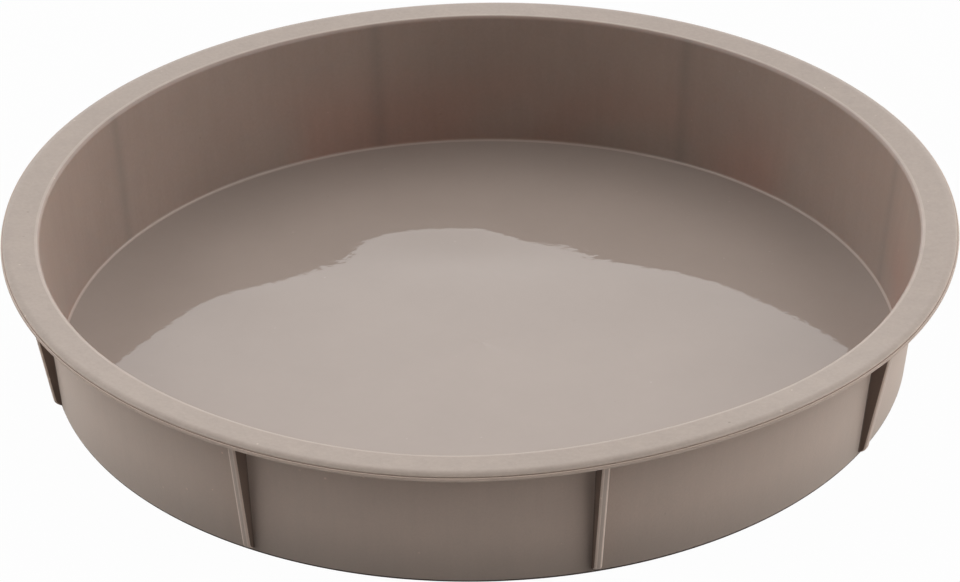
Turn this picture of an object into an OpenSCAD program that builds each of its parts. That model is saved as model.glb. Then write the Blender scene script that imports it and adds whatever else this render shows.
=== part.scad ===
// Round flexible cake mould, moulded in one soft material.
// The moulding is divided where its section changes: base panel, side wall, rim flange
// and the stiffening ribs that stand on the outside of the wall.
// +Z is up, the origin is the middle of the underside, sizes are millimetres.

/* [Pan] */
// Inner diameter of the mouth, level with the top of the rim
mouth_d = 240; // [160:1:320]
// How far the wall leans outwards between the floor and the top of the rim
wall_lean = 3.8; // [1:0.1:12]
// Overall height, from the underside to the top of the rim
pan_h = 41; // [30:0.5:60]
// Thickness of the side wall, measured level
wall_t = 1.7; // [1.2:0.1:3]
// Thickness of the floor
base_t = 1.6; // [1.2:0.1:3]
// Radius of the inner corner between the floor and the wall
corner_r = 0.9; // [0.5:0.1:3]
// Radius of the outer edge of the underside
base_edge_r = 1; // [0.4:0.1:2]

/* [Rim] */
// Width of the rim, from the mouth to its outer edge
rim_w = 10.5; // [9:0.5:16]
// Thickness of the rim
rim_t = 2.5; // [2.4:0.1:4]
// Radius of the upper outer edge of the rim
shoulder_r = 1; // [0.4:0.1:1]
// How far the thin ledge at the foot of the rim's outer edge stands out
ledge_out = 0.5; // [0.3:0.1:1]
// Height of that ledge
ledge_t = 1.4; // [0.8:0.1:1.5]
// Radius of the edge between the rim's top and the mouth
mouth_r = 1.2; // [0.5:0.1:2]

/* [Ribs] */
// Number of ribs round the wall
rib_count = 8; // [4:1:12]
// Thickness of a rib
rib_t = 2.1; // [1.4:0.1:3]
// How far a rib's top stays back from the outer edge of the rim
rib_inset = 3.9; // [2:0.1:5]
// How far a rib stands out from the wall at its foot
rib_foot_out = 1.8; // [1.2:0.1:3]
// Height of a rib's foot above the underside of the pan
rib_lift = 1.5; // [0.6:0.1:4]
// Radius of the outer corner at a rib's foot
rib_corner_r = 2.3; // [0.8:0.1:3]
// Angle of the first rib from the +X axis, in degrees
rib_phase = 14.2; // [0:0.1:45]

/* [Hidden] */

silicone = [0.53, 0.47, 0.42];
rim_silicone = [0.62, 0.57, 0.52];
$fn = 360;
arc_fn = 48;

// Extra length that lets one solid cut cleanly through another
cut = 1;
rim_under_z = pan_h - rim_t;
ledge_z = rim_under_z + ledge_t;
rim_r = mouth_d / 2 + rim_w;
shoulder_x = rim_r - ledge_out;
draft = atan(wall_lean / (pan_h - base_t));

function rib_name(i) = str("rib_", i);

// Radius of the inner wall face at a height
function inner_r(z) = mouth_d / 2 - (pan_h - z) * tan(draft);

// Radius of the outer wall face at a height
function outer_r(z) = inner_r(z) + wall_t;

// How far an arc's centre lies from the drafted face, measured level, when it also meets a level face
function arc_inset(r) = r * (1 - sin(draft)) / cos(draft);

// Direction out of the wall, square to its drafted outer face
wall_out = [cos(draft), -sin(draft)];
down = [0, -1];

corner_c = [inner_r(base_t) - arc_inset(corner_r), base_t + corner_r];
base_edge_c = [outer_r(0) - arc_inset(base_edge_r), base_edge_r];
mouth_c = [mouth_d / 2 + arc_inset(mouth_r), pan_h - mouth_r];
shoulder_c = [shoulder_x - shoulder_r, pan_h - shoulder_r];

// What is cut away outside an arc that joins a side face and a level face
module corner_cut(centre, r, side_dir, level_dir) {
    reach = r + cut;
    difference() {
        polygon([
            centre,
            centre + reach * side_dir,
            centre + reach * (side_dir + level_dir),
            centre + reach * level_dir
        ]);
        translate(centre)
            circle(r = r, $fn = arc_fn);
    }
}

// The flat glossy floor, out to where the rounded corner begins
module base_panel() {
    color(silicone)
        cylinder(h = base_t, r = corner_c.x);
}

// The drafted wall, with the rounded corner at its foot
module side_wall() {
    color(silicone)
        rotate_extrude()
            difference() {
                polygon([
                    [corner_c.x, 0],
                    [outer_r(0), 0],
                    [outer_r(rim_under_z), rim_under_z],
                    [inner_r(rim_under_z), rim_under_z],
                    corner_c + corner_r * wall_out,
                    corner_c
                ]);
                translate(corner_c)
                    circle(r = corner_r, $fn = arc_fn);
                corner_cut(base_edge_c, base_edge_r, wall_out, down);
            }
}

// Section of the rim, with the ledge at its foot
module rim_section() {
    difference() {
        polygon([
            [inner_r(rim_under_z), rim_under_z],
            [inner_r(pan_h), pan_h],
            [shoulder_x, pan_h],
            [shoulder_x, ledge_z],
            [rim_r, ledge_z],
            [rim_r, rim_under_z]
        ]);
        corner_cut(mouth_c, mouth_r, -wall_out, -down);
        corner_cut(shoulder_c, shoulder_r, [1, 0], -down);
    }
}

module rim_flange() {
    color(rim_silicone)
        rotate_extrude()
            rim_section();
}

// Side view of a rib, drawn from the pan's axis; the wall is cut from it afterwards
module rib_profile() {
    foot_x = outer_r(rib_lift) + rib_foot_out;
    top_x = rim_r - rib_inset;
    lean = atan((top_x - foot_x) / (rim_under_z - rib_lift));
    centre = [foot_x - rib_corner_r * (1 - sin(lean)) / cos(lean), rib_lift + rib_corner_r];
    difference() {
        polygon([
            [inner_r(rib_lift), rib_lift],
            [foot_x, rib_lift],
            [top_x, rim_under_z],
            [inner_r(rib_lift), rim_under_z]
        ]);
        corner_cut(centre, rib_corner_r, [cos(lean), -sin(lean)], down);
    }
}

// One rib, at its place round the wall
module rib(i) {
    color(silicone)
        rotate([0, 0, rib_phase + (i - 1) * 360 / rib_count])
            difference() {
                rotate([90, 0, 0])
                    linear_extrude(rib_t, center = true)
                        rib_profile();
                cylinder(h = pan_h, r1 = outer_r(0), r2 = outer_r(pan_h));
            }
}

base_panel();
side_wall();
rim_flange();
for (i = [1 : rib_count])
    rib(i);
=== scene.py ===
import math
import bpy
from mathutils import Matrix, Vector


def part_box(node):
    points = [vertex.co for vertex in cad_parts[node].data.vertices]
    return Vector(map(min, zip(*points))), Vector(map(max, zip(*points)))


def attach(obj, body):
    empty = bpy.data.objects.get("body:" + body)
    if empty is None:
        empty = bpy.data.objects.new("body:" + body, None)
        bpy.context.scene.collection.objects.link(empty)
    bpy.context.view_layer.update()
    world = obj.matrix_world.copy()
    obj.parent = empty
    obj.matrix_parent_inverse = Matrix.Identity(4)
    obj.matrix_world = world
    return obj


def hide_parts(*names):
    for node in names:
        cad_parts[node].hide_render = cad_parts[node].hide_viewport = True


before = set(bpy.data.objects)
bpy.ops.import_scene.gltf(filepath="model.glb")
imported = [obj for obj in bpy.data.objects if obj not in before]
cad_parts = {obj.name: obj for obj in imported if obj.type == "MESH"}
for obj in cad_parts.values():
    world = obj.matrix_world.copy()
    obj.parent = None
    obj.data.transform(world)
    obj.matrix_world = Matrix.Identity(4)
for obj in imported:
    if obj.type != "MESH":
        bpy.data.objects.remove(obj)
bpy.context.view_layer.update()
print("frame loaded:", len(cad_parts), "nodes")

# A round flexible cake mould: one dressed piece for each node, then the photo's stage and camera.
# The pieces are drawn in millimetres, at their places in the frame; finishMesh makes them metres.
mm = 0.001
tiny = 1e-6
low, high = 0, 1  # the two corners of a node's box


# a corner of a node's box, in millimetres
def corner(node, which):
    return [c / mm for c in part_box(node)[which]]


# what the pieces share; what the solids' boxes tell is read from them
pan = {
    "height": corner("rim_flange", high)[2],
    "baseThick": corner("base_panel", high)[2],
    "floorRadius": corner("base_panel", high)[0],
    "wallTopRadius": corner("side_wall", high)[0],
    "rimRadius": corner("rim_flange", high)[0],
    "rimUnder": corner("rim_flange", low)[2],
    "wallThick": 1.7,
    "wallLean": 3.8,
    "roundSteps": 480,
}
# how the soft moulding has sagged: (direction in degrees, millimetres) at its crests and hollows
sag = {
    "mouthLift": [(22, -0.77), (88, -0.11), (112, -0.41), (150, 0.22), (210, -0.52),
                  (228, -0.39), (259, -0.92), (297, 0.78), (330, -0.65), (353, -0.38)],
    "edgeLift": [(22, 0.04), (38, 0.0), (64, 0.16), (102, -0.16), (165, 1.0),
                 (209, 0.1), (226, 0.28), (261, -0.54), (300, 1.1), (341, -0.5)],
    "rimShift": (0.38, 0.03),
    "footShift": (-0.36, 0.17),
    "footOval": -0.2,
    "footTrefoil": 0.3,
}

wallSlope = pan["wallLean"] / (pan["height"] - pan["baseThick"])
draft = math.atan(wallSlope)
wallAngle = math.degrees(draft)


def outerRadius(z):
    return pan["wallTopRadius"] - (pan["rimUnder"] - z) * wallSlope


def innerRadius(z):
    return outerRadius(z) - pan["wallThick"]


mouthRadius = innerRadius(pan["height"])
innerTop = (innerRadius(pan["rimUnder"]), pan["rimUnder"])
outerTop = (outerRadius(pan["rimUnder"]), pan["rimUnder"])


# height between crests and hollows, level at each of them
def eased(keys, azimuth):
    turn = math.degrees(azimuth) % 360
    rounds = keys + [(keys[0][0] + 360, keys[0][1])]
    if turn < keys[0][0]:
        turn += 360
    for (a, before), (b, after) in zip(rounds, rounds[1:]):
        if a <= turn <= b:
            t = (turn - a) / (b - a)
            return before + (after - before) * t * t * (3 - 2 * t)


# moves a point of the true shape to where the sagged moulding has it
def flexed(x, y, z):
    radius = math.hypot(x, y)
    azimuth = math.atan2(y, x)
    up = min(max(z / pan["height"], 0.0), 1.0)
    across = min(max((radius - mouthRadius) / (pan["rimRadius"] - mouthRadius), 0.0), 1.0)
    mouthLift = eased(sag["mouthLift"], azimuth)
    edgeLift = eased(sag["edgeLift"], azimuth)
    lift = ((1 - across) * mouthLift + across * edgeLift) * up
    dx = (1 - up) * sag["footShift"][0] + up * sag["rimShift"][0]
    dy = (1 - up) * sag["footShift"][1] + up * sag["rimShift"][1]
    oval = sag["footOval"] * math.cos(2 * azimuth)
    trefoil = sag["footTrefoil"] * math.sin(3 * azimuth)
    inward = min(radius / mouthRadius, 1.0) ** 2
    grow = 1 + (1 - up) * (oval + trefoil) * inward / max(radius, tiny)
    return x * grow + dx * inward, y * grow + dy * inward, z + lift


# how far the centre of an arc stays from the drafted face, where the arc also meets a level face
def arcInset(r):
    return r * (1 - math.sin(draft)) / math.cos(draft)


# points on an arc; angles are in degrees, from outwards to upwards
def arc(centre, r, start, end, steps):
    points = []
    for i in range(steps + 1):
        a = math.radians(start + (end - start) * i / steps)
        points.append((centre[0] + r * math.cos(a), centre[1] + r * math.sin(a)))
    return points


# points between two ends, without the ends
def straight(a, b, steps):
    shares = [i / steps for i in range(1, steps)]
    return [(a[0] + (b[0] - a[0]) * t, a[1] + (b[1] - a[1]) * t) for t in shares]


def finishMesh(name, verts, faces, sharpEdges=()):
    mesh = bpy.data.meshes.new(name)
    mesh.from_pydata([(x * mm, y * mm, z * mm) for x, y, z in verts], [], faces)
    mesh.validate()
    mesh.shade_smooth()
    sharp = {tuple(sorted(e)) for e in sharpEdges}
    for e in mesh.edges:
        if tuple(sorted(e.vertices)) in sharp:
            e.use_edge_sharp = True
    piece = bpy.data.objects.new(name, mesh)
    bpy.context.scene.collection.objects.link(piece)
    return piece


def unwaved(x, y, z):
    return 0.0


# a closed section turned round the axis; sharpRings are the section's hard corners
def turned(name, section, sharpRings, waves=unwaved):
    count = pan["roundSteps"]
    verts, faces, sharp, rings = [], [], [], []
    for r, z in section:
        if r < tiny:
            rings.append([len(verts)])
            verts.append((0.0, 0.0, z + waves(0, 0, z)))
            continue
        rings.append(list(range(len(verts), len(verts) + count)))
        for i in range(count):
            a = 2 * math.pi * i / count
            x, y = r * math.cos(a), r * math.sin(a)
            fx, fy, fz = flexed(x, y, z)
            verts.append((fx, fy, fz + waves(x, y, z)))
    pairs = list(zip(rings, rings[1:]))
    if len(rings[0]) > 1:
        pairs.append((rings[-1], rings[0]))
    for a, b in pairs:
        for i in range(count):
            j = (i + 1) % count
            if len(a) == 1:
                faces.append((a[0], b[i], b[j]))
            elif len(b) == 1:
                faces.append((a[i], b[0], a[j]))
            else:
                faces.append((a[i], b[i], b[j], a[j]))
    for k in sharpRings:
        ring = rings[k]
        sharp += [(ring[i], ring[(i + 1) % count]) for i in range(count)]
    return finishMesh(name, verts, faces, sharp)


# faces of a turned piece between two rings of its section, and the finish that they have
def ringFaces(first, last, finish):
    return {face: finish for face in range(first * pan["roundSteps"], last * pan["roundSteps"])}


# floor: a disc out to where the rounded corner begins
floor = {
    "rings": 110,
    "undersideRing": 0.5,  # share of the floor's radius
    "levelling": 8,  # a higher power lets the swells reach nearer to the edge
}
# shallow swells and dips that bend the floor's mirror image of the rim, in millimetres
floorSwells = [
    {"at": (-0.5, 47), "high": -0.42, "spread": (18, 8)},
    {"at": (-15, 67), "high": 0.5, "spread": (24, 8)},
    {"at": (15, 69.5), "high": -0.5, "spread": (7, 8)},
    {"at": (51.5, 31), "high": 0.5, "spread": (14.5, 14.5)},
    {"at": (-66, 29), "high": 0.5, "spread": (11.5, 11)},
    {"at": (76, 3), "high": 0.5, "spread": (15.5, 21)},
]


def floorWave(x, y, z):
    if z < pan["baseThick"] / 2:
        return 0.0
    height = 0.0
    for swell in floorSwells:
        u = (x - swell["at"][0]) / swell["spread"][0]
        v = (y - swell["at"][1]) / swell["spread"][1]
        height += swell["high"] * math.exp(-(u * u + v * v) / 2)
    level = 1 - (math.hypot(x, y) / pan["floorRadius"]) ** floor["levelling"]
    return height * max(level, 0.0)


edgeRing = floor["rings"]
undersideRadius = pan["floorRadius"] * floor["undersideRing"]
floorSection = [(pan["floorRadius"] * i / edgeRing, pan["baseThick"]) for i in range(edgeRing + 1)]
floorSection += [(pan["floorRadius"], 0.0), (undersideRadius, 0.0), (0.0, 0.0)]
panFloor = turned("panFloor", floorSection, (edgeRing, edgeRing + 1), floorWave)
print("floor made")

# wall: inner fillet, inner face, joint under the rim, fillet under the rim, outer face, rounded foot
wall = {
    "filletRadius": 0.9,
    "filletHighlightRings": 6,  # rings of the inner fillet that are painted paler than the wall, a painted highlight line
    "underFillet": 0.8,
    "footRadius": 1.0,
    "filletSteps": 10,
    "underSteps": 8,
    "footSteps": 10,
    "faceSteps": 26,
}
filletCentre = (pan["floorRadius"], pan["baseThick"] + wall["filletRadius"])
filletArc = arc(filletCentre, wall["filletRadius"], -90, -wallAngle, wall["filletSteps"])
underCentre = (outerTop[0] + arcInset(wall["underFillet"]), pan["rimUnder"] - wall["underFillet"])
underArc = arc(underCentre, wall["underFillet"], 90, 180 - wallAngle, wall["underSteps"])
footCentre = (outerRadius(0) - arcInset(wall["footRadius"]), wall["footRadius"])
footArc = arc(footCentre, wall["footRadius"], -wallAngle, -90, wall["footSteps"])
wallSection = filletArc + straight(filletArc[-1], innerTop, wall["faceSteps"]) + [innerTop]
topRing = len(wallSection) - 1
wallSection += underArc + straight(underArc[-1], footArc[0], wall["faceSteps"])
footRing = len(wallSection)
wallSection += footArc + [(pan["floorRadius"], 0.0)]
panWall = turned("panWall", wallSection, (0, topRing, topRing + 1, len(wallSection) - 1))
wallFaces = {
    **ringFaces(0, wall["filletHighlightRings"], "filletPaintedHighlight"),
    **ringFaces(topRing, footRing, "wallMattePaintedLight"),
    **ringFaces(footRing, footRing + len(footArc), "footPaintedShadow"),
}
print("wall made")

# rim: mouth edge, flat, shoulder, groove, ledge with the parting step, underside
rim = {
    "mouthEdgeRadius": 1.2,
    "mouthHighlightFlat": 0.25,
    "mouthHighlightRings": 6,  # rings of the mouth edge that are painted pale, a painted highlight
    "shoulderWide": 2.2,
    "shoulderTurn": 72,
    "ledgeOut": 0.5,
    "ledgeHigh": 1.4,
    "ledgeEdge": 0.18,
    "grooveDeep": 0.2,
    "partingHigh": 0.85,
    "partingOut": 0.1,  # how far the ledge's lower half stands out past its upper half
    "underTaper": 0.7,  # how far the ledge's foot draws back
    "underEdgeStart": -20,
    "mouthSteps": 16,
    "flatSteps": 8,
    "shoulderSteps": 12,
    "edgeSteps": 4,
    "partingSteps": 3,
    "underSteps": 5,
}
shoulderX = pan["rimRadius"] - rim["ledgeOut"]
ledgeTop = pan["rimUnder"] + rim["ledgeHigh"]
partingZ = pan["rimUnder"] + rim["partingHigh"]
edge = rim["ledgeEdge"]
upperX = pan["rimRadius"] - rim["partingOut"]
lowerX = pan["rimRadius"] - rim["underTaper"]


# the flat's soft run down to the ledge: part of a wide, low ellipse
def shoulder(steps):
    drop = pan["height"] - ledgeTop
    points = []
    for i in range(steps + 1):
        a = math.radians(rim["shoulderTurn"]) * i / steps
        x = shoulderX - rim["shoulderWide"] * (1 - math.sin(a))
        points.append((x, pan["height"] - drop * (1 - math.cos(a))))
    return points


mouthX = mouthRadius + arcInset(rim["mouthEdgeRadius"])
mouthCentre = (mouthX, pan["height"] - rim["mouthEdgeRadius"])
mouthArc = arc(mouthCentre, rim["mouthEdgeRadius"], 180 - wallAngle, 90, rim["mouthSteps"])
mouthRing = len(mouthArc) - rim["mouthHighlightRings"] + 1
mouthHighlightEnd = (mouthArc[-1][0] + rim["mouthHighlightFlat"], pan["height"])
shoulderArc = shoulder(rim["shoulderSteps"])
deep = rim["grooveDeep"]
rimSection = [innerTop] + mouthArc + [mouthHighlightEnd]
rimSection += straight(mouthHighlightEnd, shoulderArc[0], rim["flatSteps"]) + shoulderArc
rimSection += [(shoulderX, ledgeTop + deep), (shoulderX - deep, ledgeTop)]
grooveRing = len(rimSection) - 1
rimSection += arc((upperX - edge, ledgeTop - edge), edge, 90, 0, rim["edgeSteps"])
rimSection += [(upperX, partingZ)]
partingRing = len(rimSection) - 1
partingCentre = (pan["rimRadius"] - edge / 2, partingZ - edge / 2)
rimSection += arc(partingCentre, edge / 2, 90, 0, rim["partingSteps"])
underEdgeCentre = (lowerX - edge, pan["rimUnder"] + edge)
rimSection += arc(underEdgeCentre, edge, rim["underEdgeStart"], -90, rim["edgeSteps"])
undersideRing = len(rimSection) - 1
rimSection += straight(rimSection[-1], innerTop, rim["underSteps"])
panRim = turned("panRim", rimSection, (0, grooveRing, partingRing))
rimFaces = {
    **ringFaces(0, mouthRing, "wallSatin"),
    **ringFaces(mouthRing, mouthRing + rim["mouthHighlightRings"], "mouthEdge"),
    **ringFaces(grooveRing - 1, grooveRing + 1, "groovePaintedShade"),
    **ringFaces(grooveRing + 1, undersideRing, "ledgeEdge"),
}
print("rim made")

# fins: the upright stiffening ribs on the outside of the wall
fin = {
    "count": 8,
    "thick": 2.1,
    "phase": 14.2,
    "topInset": 3.9,
    "footOut": 1.8,
    "lift": corner("rib_1", low)[2],
    "cornerRadius": 2.3,
    "cornerSteps": 12,
    "steps": 30,
    "edgeRadius": 0.6,
    "rootFillet": 0.35,
    "edgeShare": 0.6,  # share of a fin's depth that its rounded edge takes at most
    "rootShare": 0.35,  # share of a fin's depth that its root's fillet takes at most
    "sink": 0.7,  # how far a fin's root goes into the wall
    "rootGap": 0.003,
    "leastOut": 0.02,
    "turns": (0.4, 0.8, 1.2, math.pi / 2),  # directions of the points on a rounding, in radians
}


# how far out a fin's outer edge stands at each height, from the rounded corner at its foot to the rim
def finEdgeLine():
    footX = outerRadius(fin["lift"]) + fin["footOut"]
    top = (pan["rimRadius"] - fin["topInset"], pan["rimUnder"])
    lean = math.atan((top[0] - footX) / (top[1] - fin["lift"]))
    r = fin["cornerRadius"]
    centre = (footX - r * (1 - math.sin(lean)) / math.cos(lean), fin["lift"] + r)
    line = arc(centre, r, -90, -math.degrees(lean), fin["cornerSteps"])
    return line + straight(line[-1], top, fin["steps"]) + [top]


# one side of a fin's level section, from inside the wall to the middle of the outer edge
def finHalf(x, z):
    half = fin["thick"] / 2
    wallX = outerRadius(z)
    depth = max(x - wallX, fin["leastOut"])
    r = min(fin["rootFillet"], depth * fin["rootShare"])
    side = [(half + r, wallX - fin["sink"]), (half + r, wallX + fin["rootGap"])]
    side += [(half + r - r * math.sin(a), wallX + r - r * math.cos(a)) for a in fin["turns"]]
    r = min(fin["edgeRadius"], depth * fin["edgeShare"])
    side += [(half - r + r * math.cos(a), x - r + r * math.sin(a)) for a in (0.0, *fin["turns"])]
    return side


# one fin, with rounded outer edges and a small fillet at its root
def finPiece(index):
    azimuth = math.radians(fin["phase"] + index * 360 / fin["count"])
    across, out = math.sin(azimuth), math.cos(azimuth)
    edgeLine = finEdgeLine()
    verts, faces, finishOf = [], [], {}
    for x, z in edgeLine:
        side = finHalf(x, z)
        for t, u in [(-t, u) for t, u in side] + list(reversed(side)):
            verts.append(flexed(u * out - t * across, u * across + t * out, z))
    middle = len(side)
    count = middle * 2
    rounding = len(fin["turns"]) + 1
    for k in range(len(edgeLine) - 1):
        for i in range(count):
            j = (i + 1) % count
            if i == middle - 1:
                finishOf[len(faces)] = "finFace"
            elif middle - rounding <= i < middle + rounding - 1:
                finishOf[len(faces)] = "finEdge"
            faces.append((k * count + i, k * count + j, (k + 1) * count + j, (k + 1) * count + i))
    faces.append(tuple(reversed(range(count))))
    last = (len(edgeLine) - 1) * count
    faces.append(tuple(range(last, last + count)))
    return finishMesh("fin%d" % (index + 1), verts, faces), finishOf


fins = [finPiece(i) for i in range(fin["count"])]
print("fins made:", len(fins))


def addNode(tree, kind, inputs=None, **props):
    node = tree.nodes.new(kind)
    for key, value in props.items():
        setattr(node, key, value)
    for key, value in (inputs or {}).items():
        node.inputs[key].default_value = value
    return node


def maths(tree, operation, a, b=None, clamp=False):
    node = addNode(tree, "ShaderNodeMath", operation=operation, use_clamp=clamp)
    for socket, value in zip(node.inputs, (a, b)):
        if value is None:
            continue
        if isinstance(value, (int, float)):
            socket.default_value = value
        else:
            tree.links.new(value, socket)
    return node.outputs[0]


def newGroup(name, inputs, outputs):
    group = bpy.data.node_groups.new(name, "ShaderNodeTree")
    for label, kind, value in inputs:
        socket = group.interface.new_socket(label, in_out="INPUT", socket_type=kind)
        socket.default_value = value
    for label, kind in outputs:
        group.interface.new_socket(label, in_out="OUTPUT", socket_type=kind)
    return group, group.nodes.new("NodeGroupInput"), group.nodes.new("NodeGroupOutput")


# a point's own place, in metres
def objectPlace(tree):
    return addNode(tree, "ShaderNodeTexCoord").outputs["Object"]


# the X, Y and Z of a place or a direction
def split(tree, vector):
    parts = addNode(tree, "ShaderNodeSeparateXYZ")
    tree.links.new(vector, parts.inputs[0])
    return parts.outputs


# what every finish starts from; the others name only what differs
plain = {
    "tone": (0.346, 0.281, 0.239),
    "cloud": 0.1,
    "cloudScale": 26,
    "streak": 0.0,
    "grain": 0.08,
    "grainScale": 1500,
    "grainDetail": 2,
    "dust": 0.3,
    "roughness": 0.5,
    "bump": 0.00003,
    "ior": 1.42,
    "glow": 0.0,
    "glowRadius": (1.0, 0.4, 0.25),
    "glowDepth": 0.0013,
    "chalk": 0.0,
    "sheen": 0.0,
    "sheenRoughness": 0.7,
    "sheenTint": (1.0, 0.86, 0.76),
    "shades": {},  # a mask, and the colour that the tone is multiplied with where the mask is full
}
finishes = {
    "floorGloss": {
        "tone": (0.355, 0.29, 0.252),
        "cloud": 0.12, "cloudScale": 30,
        "grain": 0.02, "grainScale": 450, "grainDetail": 1,
        "dust": 0.12,
        "roughness": 0.022, "bump": 0.000014,
    },
    "wallSatin": {
        "tone": (0.314, 0.235, 0.196),
        "cloud": 0.3, "cloudScale": 22,
        "streak": 0.1,
        "grain": 0.14, "grainScale": 1100,
        "dust": 0.2,
        "roughness": 0.34, "bump": 0.00001,
        "glow": 0.18,
        # painted shade in bands behind the fins, and a painted warm glow in patches low on the wall
        "shades": {"finShade": (0.86, 0.89, 0.9), "paintedGlowPatches": (1.07, 0.92, 0.89)},
    },
    # painted highlight: the fillet's pale tone stands in for the light that its rounding catches
    "filletPaintedHighlight": {"tone": (0.42, 0.33, 0.28), "roughness": 0.34},
    "wallMattePaintedLight": {
        # painted light: the outer wall's tone is lighter than the rim's for the light that it catches;
        # its sheen and chalk are its finish
        "tone": (0.52, 0.392, 0.322),
        "cloud": 0.16, "cloudScale": 60,
        "streak": 0.1,
        "grain": 0.14,
        "dust": 0.35,
        "roughness": 0.4, "ior": 1.46,
        "glow": 0.04, "chalk": 1.0, "sheen": 1.0,
        # painted shade: darker towards the foot
        "shades": {"footShade": (0.64, 0.64, 0.64)},
    },
    # painted shadow: the dark line where the foot meets the floor
    "footPaintedShadow": {"tone": (0.11, 0.08, 0.065)},
    "rimMatte": {
        "cloud": 0.22, "cloudScale": 150,
        "grain": 0.2, "grainScale": 900,
        "dust": 0.6,
        # painted light: the rim's upright faces are made lighter
        "shades": {"uprightPaintedLight": (1.6, 1.6, 1.6)},
    },
    # painted highlight: the mouth edge is lighter than the rim for the light along its rounding
    "mouthEdge": {"tone": (0.41, 0.335, 0.288), "cloud": 0.3, "cloudScale": 200},
    # painted shade: a darker line where the groove between shoulder and ledge lies in shade
    "groovePaintedShade": {"tone": (0.4, 0.3, 0.245)},
    # painted light: the ledge faces are lighter than the rim for the light that they catch
    "ledgeEdge": {
        "tone": (0.58, 0.455, 0.38),
        "cloud": 0.2, "cloudScale": 150,
        "chalk": 1.0, "sheen": 0.7,
    },
    # painted light: the fin's outer face is lighter than the rim's tone for the light that it catches
    "finFace": {"tone": (0.53, 0.415, 0.35), "chalk": 1.0, "sheen": 1.0},
    # painted shade: the fins' side faces are made much darker
    "finSide": {"tone": (0.225, 0.158, 0.125)},
    # painted highlight: the fins' rounded edges are made much lighter
    "finEdge": {"tone": (0.85, 0.7, 0.6), "chalk": 1.0, "sheen": 1.0},
}
# the skin group's sockets, and what each finish calls them
skinSockets = {
    "Cloud": "cloud",
    "Cloud Scale": "cloudScale",
    "Streak": "streak",
    "Grain": "grain",
    "Grain Scale": "grainScale",
    "Grain Detail": "grainDetail",
    "Dust": "dust",
    "Roughness": "roughness",
}
# the skin's noise, with scales that count to the metre
skin = {
    "noiseRoughness": 0.6,
    "cloudDetail": 3.0,
    "cloudInRoughness": 0.3,
    "streakScale": 420.0,
    "streakDetail": 2.0,
    "streakSquash": 0.04,  # how much of its height a streak's noise keeps, so it is drawn out upwards
    "dustScale": 300.0,
    "dustChosen": 0.82,  # a dust cell has a speck where its random red is above this
    "dustSize": 0.1,
    "dustSpan": 1.8,  # how far the darkest and the lightest specks lie apart
    "dustDarkest": 0.6,
}


# moulded silicone: cloudy tone, upright flow streaks, fine grain and stray dust specks
def siliconeSkinGroup():
    tree, given, result = newGroup(
        "siliconeSkin",
        [("Tone", "NodeSocketColor", (*plain["tone"], 1))]
        + [(label, "NodeSocketFloat", plain[key]) for label, key in skinSockets.items()],
        [("Tone", "NodeSocketColor"), ("Roughness", "NodeSocketFloat"), ("Height", "NodeSocketFloat")],
    )
    link = tree.links.new
    place = objectPlace(tree)

    def noise(vector, **settings):
        node = addNode(tree, "ShaderNodeTexNoise", {"Roughness": skin["noiseRoughness"], **settings})
        link(vector, node.inputs["Vector"])
        return node

    # noise runs from 0 to 1; taken from a half, it darkens as much as it lightens
    def swing(node, amount):
        around = maths(tree, "SUBTRACT", node.outputs["Fac"], 0.5)
        return maths(tree, "MULTIPLY", around, given.outputs[amount])

    cloud = noise(place, Detail=skin["cloudDetail"])
    link(given.outputs["Cloud Scale"], cloud.inputs["Scale"])
    grain = noise(place)
    link(given.outputs["Grain Scale"], grain.inputs["Scale"])
    link(given.outputs["Grain Detail"], grain.inputs["Detail"])
    squash = (1.0, 1.0, skin["streakSquash"])
    drawn = addNode(tree, "ShaderNodeVectorMath", {1: squash}, operation="MULTIPLY")
    link(place, drawn.inputs[0])
    streak = noise(drawn.outputs[0], Scale=skin["streakScale"], Detail=skin["streakDetail"])

    # some of the dust cells have a speck, which is darker or lighter than the skin
    dust = addNode(tree, "ShaderNodeTexVoronoi", {"Scale": skin["dustScale"], "Randomness": 1.0})
    link(place, dust.inputs["Vector"])
    pick = addNode(tree, "ShaderNodeSeparateColor")
    link(dust.outputs["Color"], pick.inputs["Color"])
    chosen = maths(tree, "GREATER_THAN", pick.outputs["Red"], skin["dustChosen"])
    inside = maths(tree, "LESS_THAN", dust.outputs["Distance"], skin["dustSize"])
    lightness = maths(tree, "MULTIPLY", pick.outputs["Green"], skin["dustSpan"])
    lightness = maths(tree, "SUBTRACT", lightness, skin["dustDarkest"])
    speck = maths(tree, "MULTIPLY", maths(tree, "MULTIPLY", inside, chosen), lightness)
    speck = maths(tree, "MULTIPLY", speck, given.outputs["Dust"])

    clouds = swing(cloud, "Cloud")
    level = maths(tree, "ADD", clouds, swing(grain, "Grain"))
    level = maths(tree, "ADD", level, swing(streak, "Streak"))
    level = maths(tree, "ADD", level, maths(tree, "ADD", speck, 1.0))
    tone = addNode(tree, "ShaderNodeVectorMath", operation="SCALE")
    link(given.outputs["Tone"], tone.inputs[0])
    link(level, tone.inputs["Scale"])
    link(tone.outputs[0], result.inputs["Tone"])
    duller = maths(tree, "MULTIPLY", clouds, skin["cloudInRoughness"])
    rough = maths(tree, "ADD", given.outputs["Roughness"], duller, clamp=True)
    link(rough, result.inputs["Roughness"])
    link(grain.outputs["Fac"], result.inputs["Height"])
    return tree


# a mask that runs smoothly from 0 at one value to 1 at another; each is a number or a socket
def smoothMask(tree, value, empty, full):
    mask = addNode(tree, "ShaderNodeMapRange", interpolation_type="SMOOTHSTEP")
    tree.links.new(value, mask.inputs["Value"])
    for socket, limit in ((mask.inputs["From Min"], empty), (mask.inputs["From Max"], full)):
        if isinstance(limit, (int, float)):
            socket.default_value = limit
        else:
            tree.links.new(limit, socket)
    return mask.outputs[0]


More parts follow.
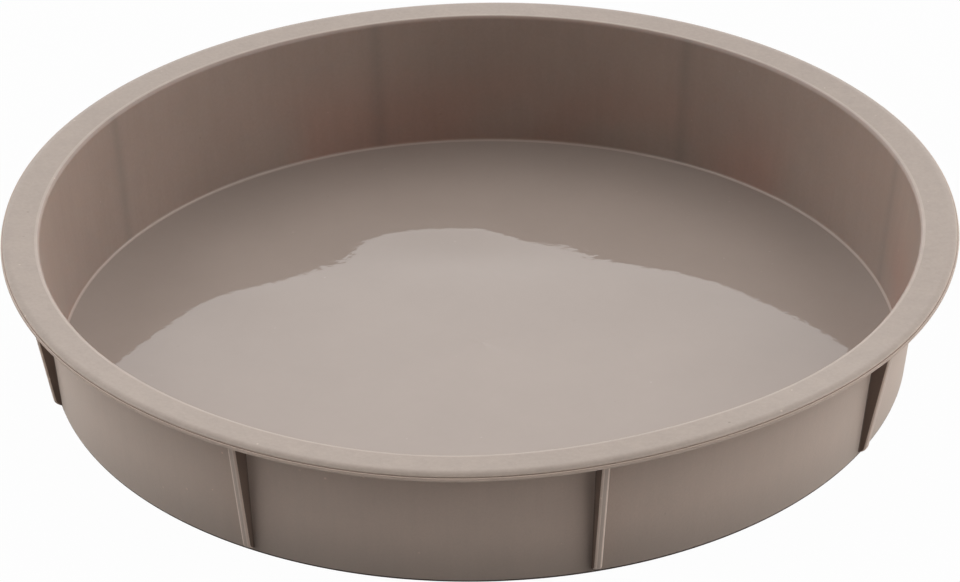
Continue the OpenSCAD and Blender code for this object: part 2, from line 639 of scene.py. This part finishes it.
# painted shade: upright bands where a fin backs the thin wall and less light comes through it
def finShadeGroup():
    tree, given, result = newGroup(
        "finShade",
        [("Half Width", "NodeSocketFloat", 0.018)],
        [("Mask", "NodeSocketFloat")],
    )
    parts = split(tree, objectPlace(tree))
    azimuth = maths(tree, "ARCTAN2", parts["Y"], parts["X"])
    azimuth = maths(tree, "SUBTRACT", azimuth, math.radians(fin["phase"]))
    away = maths(tree, "PINGPONG", azimuth, math.pi / fin["count"])
    near = maths(tree, "DIVIDE", away, given.outputs["Half Width"])
    mask = maths(tree, "EXPONENT", maths(tree, "MULTIPLY", maths(tree, "MULTIPLY", near, near), -1.0))
    tree.links.new(mask, result.inputs["Mask"])
    return tree


# painted light: a mask of the faces that stand upright, running out smoothly towards the level ones,
# where the rim is made lighter
def uprightPaintedLightGroup():
    tree, given, result = newGroup(
        "uprightPaintedLight",
        [("Level", "NodeSocketFloat", 0.98), ("Upright", "NodeSocketFloat", 0.4)],
        [("Mask", "NodeSocketFloat")],
    )
    upward = split(tree, addNode(tree, "ShaderNodeTexCoord").outputs["Normal"])["Z"]
    mask = smoothMask(tree, upward, given.outputs["Level"], given.outputs["Upright"])
    tree.links.new(mask, result.inputs["Mask"])
    return tree


# painted shade: the lowest part of the pan is made darker, more so towards its foot
def footShadeGroup():
    tree, given, result = newGroup(
        "footShade",
        [("Height", "NodeSocketFloat", 0.018)],
        [("Mask", "NodeSocketFloat")],
    )
    height = split(tree, objectPlace(tree))["Z"]
    mask = smoothMask(tree, height, given.outputs["Height"], 0.0)
    tree.links.new(mask, result.inputs["Mask"])
    return tree


# painted glow: broad warm patches low on the wall, standing in for warm light coming through it
def paintedGlowPatchesGroup():
    tree, given, result = newGroup(
        "paintedGlowPatches",
        [
            ("Scale", "NodeSocketFloat", 11.0),
            ("Offset", "NodeSocketVector", (4.9, 0.0, 0.0)),
            # Thick and Thin: the noise levels where the painted glow starts and where it is full
            ("Thick", "NodeSocketFloat", 0.46),
            ("Thin", "NodeSocketFloat", 0.6),
            ("High", "NodeSocketFloat", 0.034),
            ("Low", "NodeSocketFloat", 0.008),
        ],
        [("Mask", "NodeSocketFloat")],
    )
    place = objectPlace(tree)
    moved = addNode(tree, "ShaderNodeVectorMath", operation="ADD")
    tree.links.new(place, moved.inputs[0])
    tree.links.new(given.outputs["Offset"], moved.inputs[1])
    patches = addNode(tree, "ShaderNodeTexNoise", {"Roughness": skin["noiseRoughness"]})
    tree.links.new(moved.outputs[0], patches.inputs["Vector"])
    tree.links.new(given.outputs["Scale"], patches.inputs["Scale"])
    inside = smoothMask(tree, patches.outputs["Fac"], given.outputs["Thick"], given.outputs["Thin"])
    height = split(tree, place)["Z"]
    lowDown = smoothMask(tree, height, given.outputs["High"], given.outputs["Low"])
    tree.links.new(maths(tree, "MULTIPLY", inside, lowDown), result.inputs["Mask"])
    return tree


siliconeSkin = siliconeSkinGroup()
maskGroups = (finShadeGroup(), uprightPaintedLightGroup(), footShadeGroup(), paintedGlowPatchesGroup())
masks = {group.name: group for group in maskGroups}
mixFactor, mixA, mixB, mixResult = 0, 6, 7, 2  # the mix node's sockets where it mixes colours


def siliconeMaterial(name):
    look = {**plain, **finishes[name]}
    material = bpy.data.materials.new(name)
    material.use_nodes = True
    tree = material.node_tree
    link = tree.links.new
    tree.nodes.clear()
    surface = addNode(tree, "ShaderNodeGroup", node_tree=siliconeSkin)
    surface.inputs["Tone"].default_value = (*look["tone"], 1)
    for label, key in skinSockets.items():
        surface.inputs[label].default_value = look[key]
    tone = surface.outputs["Tone"]
    for mask, colour in look["shades"].items():
        where = addNode(tree, "ShaderNodeGroup", node_tree=masks[mask])
        shaded = addNode(tree, "ShaderNodeMix", data_type="RGBA", blend_type="MULTIPLY")
        shaded.inputs[mixB].default_value = (*colour, 1)
        link(where.outputs["Mask"], shaded.inputs[mixFactor])
        link(tone, shaded.inputs[mixA])
        tone = shaded.outputs[mixResult]
    shader = addNode(tree, "ShaderNodeBsdfPrincipled", {
        "IOR": look["ior"],
        "Diffuse Roughness": look["chalk"],
        "Sheen Weight": look["sheen"],
        "Sheen Roughness": look["sheenRoughness"],
        "Sheen Tint": (*look["sheenTint"], 1),
        "Subsurface Weight": look["glow"],
        "Subsurface Radius": look["glowRadius"],
        "Subsurface Scale": look["glowDepth"],
    })
    bump = addNode(tree, "ShaderNodeBump", {"Strength": 1.0, "Distance": look["bump"]})
    out = addNode(tree, "ShaderNodeOutputMaterial")
    link(tone, shader.inputs["Base Color"])
    link(surface.outputs["Roughness"], shader.inputs["Roughness"])
    link(surface.outputs["Height"], bump.inputs["Height"])
    link(bump.outputs["Normal"], shader.inputs["Normal"])
    link(shader.outputs[0], out.inputs["Surface"])
    return material


materials = {name: siliconeMaterial(name) for name in finishes}


# gives a piece its finishes and its place in the frame; a face not in faces has the first finish
def dress(piece, node, names, faces=None):
    for name in names:
        piece.data.materials.append(materials[name])
    for face, name in (faces or {}).items():
        piece.data.polygons[face].material_index = names.index(name)
    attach(piece, "root")
    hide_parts(node)


wallNames = ["wallSatin", "wallMattePaintedLight", "footPaintedShadow", "filletPaintedHighlight"]
rimNames = ["rimMatte", "mouthEdge", "ledgeEdge", "groovePaintedShade", "wallSatin"]
finNames = ["finSide", "finFace", "finEdge"]
dress(panFloor, "base_panel", ["floorGloss"])
dress(panWall, "side_wall", wallNames, wallFaces)
dress(panRim, "rim_flange", rimNames, rimFaces)
for i, (piece, finFaces) in enumerate(fins):
    dress(piece, "rib_%d" % (i + 1), finNames, finFaces)
print("materials set")

# stage: a wide soft light behind and beside the pan, fading out towards the camera and overhead
studio = {
    "floorReach": 9.0,
    "floorTone": 0.3,
    "floorGlow": 0.98,  # how white the camera sees the floor; the rest shows the pan's shadow
    "lightAzimuth": 81,
    "lightLevel": 1.98,
    "sideGain": -0.05,
    "fadeStart": -0.5,
    "fadeEnd": -0.77,
    "climb": 0.05,  # how much further round the light reaches higher up
    "roofStart": 0.8,
    "roofEnd": 0.93,
    "roof": 0.19,
    "leastLevel": 0.001,  # stands in for the level part of a direction straight up
}


def stageFloor():
    mesh = bpy.data.meshes.new("stageFloor")
    reach = studio["floorReach"]
    corners = [(-reach, -reach, 0), (reach, -reach, 0), (reach, reach, 0), (-reach, reach, 0)]
    mesh.from_pydata(corners, [], [(0, 1, 2, 3)])
    plane = bpy.data.objects.new("stageFloor", mesh)
    bpy.context.scene.collection.objects.link(plane)
    material = bpy.data.materials.new("stageWhite")
    material.use_nodes = True
    tree = material.node_tree
    link = tree.links.new
    tree.nodes.clear()
    tone = studio["floorTone"]
    paper = addNode(tree, "ShaderNodeBsdfDiffuse", {"Color": (tone, tone, tone, 1)})
    glow = addNode(tree, "ShaderNodeEmission", {"Color": (1, 1, 1, 1), "Strength": 1.0})
    path = addNode(tree, "ShaderNodeLightPath")
    mix = addNode(tree, "ShaderNodeMixShader")
    out = addNode(tree, "ShaderNodeOutputMaterial")
    link(maths(tree, "MULTIPLY", path.outputs["Is Camera Ray"], studio["floorGlow"]), mix.inputs[0])
    link(paper.outputs[0], mix.inputs[1])
    link(glow.outputs[0], mix.inputs[2])
    link(mix.outputs[0], out.inputs["Surface"])
    mesh.materials.append(material)


def studioWorld():
    world = bpy.data.worlds.new("studioWorld")
    bpy.context.scene.world = world
    world.use_nodes = True
    tree = world.node_tree
    link = tree.links.new
    tree.nodes.clear()
    x, y, z = split(tree, addNode(tree, "ShaderNodeTexCoord").outputs["Generated"])
    turn = math.radians(studio["lightAzimuth"])
    across = maths(tree, "MULTIPLY", x, x)
    level = maths(tree, "SQRT", maths(tree, "ADD", across, maths(tree, "MULTIPLY", y, y)))
    alongX = maths(tree, "MULTIPLY", x, math.cos(turn))
    alongY = maths(tree, "MULTIPLY", y, math.sin(turn))
    along = maths(tree, "ADD", alongX, alongY)
    along = maths(tree, "DIVIDE", along, maths(tree, "MAXIMUM", level, studio["leastLevel"]))
    along = maths(tree, "ADD", along, maths(tree, "MULTIPLY", z, studio["climb"]))
    strength = smoothMask(tree, along, studio["fadeEnd"], studio["fadeStart"])
    overhead = smoothMask(tree, z, studio["roofStart"], studio["roofEnd"])
    dimming = maths(tree, "MULTIPLY", overhead, studio["roof"] - 1)
    strength = maths(tree, "MULTIPLY", strength, maths(tree, "ADD", dimming, 1.0))
    sides = maths(tree, "MULTIPLY", across, studio["sideGain"])
    strength = maths(tree, "MULTIPLY", strength, maths(tree, "ADD", sides, 1.0))
    strength = maths(tree, "MULTIPLY", strength, studio["lightLevel"])
    sky = addNode(tree, "ShaderNodeBackground", {"Color": (1, 1, 1, 1)})
    link(strength, sky.inputs["Strength"])
    white = addNode(tree, "ShaderNodeBackground", {"Color": (1, 1, 1, 1), "Strength": 1.0})
    path = addNode(tree, "ShaderNodeLightPath")
    mix = addNode(tree, "ShaderNodeMixShader")
    out = addNode(tree, "ShaderNodeOutputWorld")
    link(path.outputs["Is Camera Ray"], mix.inputs[0])
    link(sky.outputs[0], mix.inputs[1])
    link(white.outputs[0], mix.inputs[2])
    link(mix.outputs[0], out.inputs["Surface"])


stageFloor()
studioWorld()
print("stage set")

# the photo's point of view: angles in degrees, lens and sensor in millimetres, the rest in metres
view = {
    "elevation": 30.349,
    "roll": -1.067,
    "distance": 1.37025,
    "aimX": 0.0001,
    "aimZ": 0.01769,
    "lens": 186.656,
    "sensor": 36.0,
}


def makeCamera():
    e, roll = math.radians(view["elevation"]), math.radians(view["roll"])
    back = Vector((0, -math.cos(e), math.sin(e)))
    right = Vector((1, 0, 0))
    upward = back.cross(right)
    rolledRight = math.cos(roll) * right + math.sin(roll) * upward
    rolledUp = -math.sin(roll) * right + math.cos(roll) * upward
    camera = bpy.data.cameras.new("photoCamera")
    camera.sensor_width = view["sensor"]
    camera.sensor_fit = "HORIZONTAL"
    camera.lens = view["lens"]
    holder = bpy.data.objects.new("photoCamera", camera)
    bpy.context.scene.collection.objects.link(holder)
    turn = Matrix((rolledRight, rolledUp, back)).transposed()
    aim = Vector((view["aimX"], 0, view["aimZ"]))
    holder.matrix_world = Matrix.Translation(aim + back * view["distance"]) @ turn.to_4x4()
    bpy.context.scene.camera = holder


makeCamera()
bpy.context.scene.view_settings.view_transform = "Standard"

print("done")
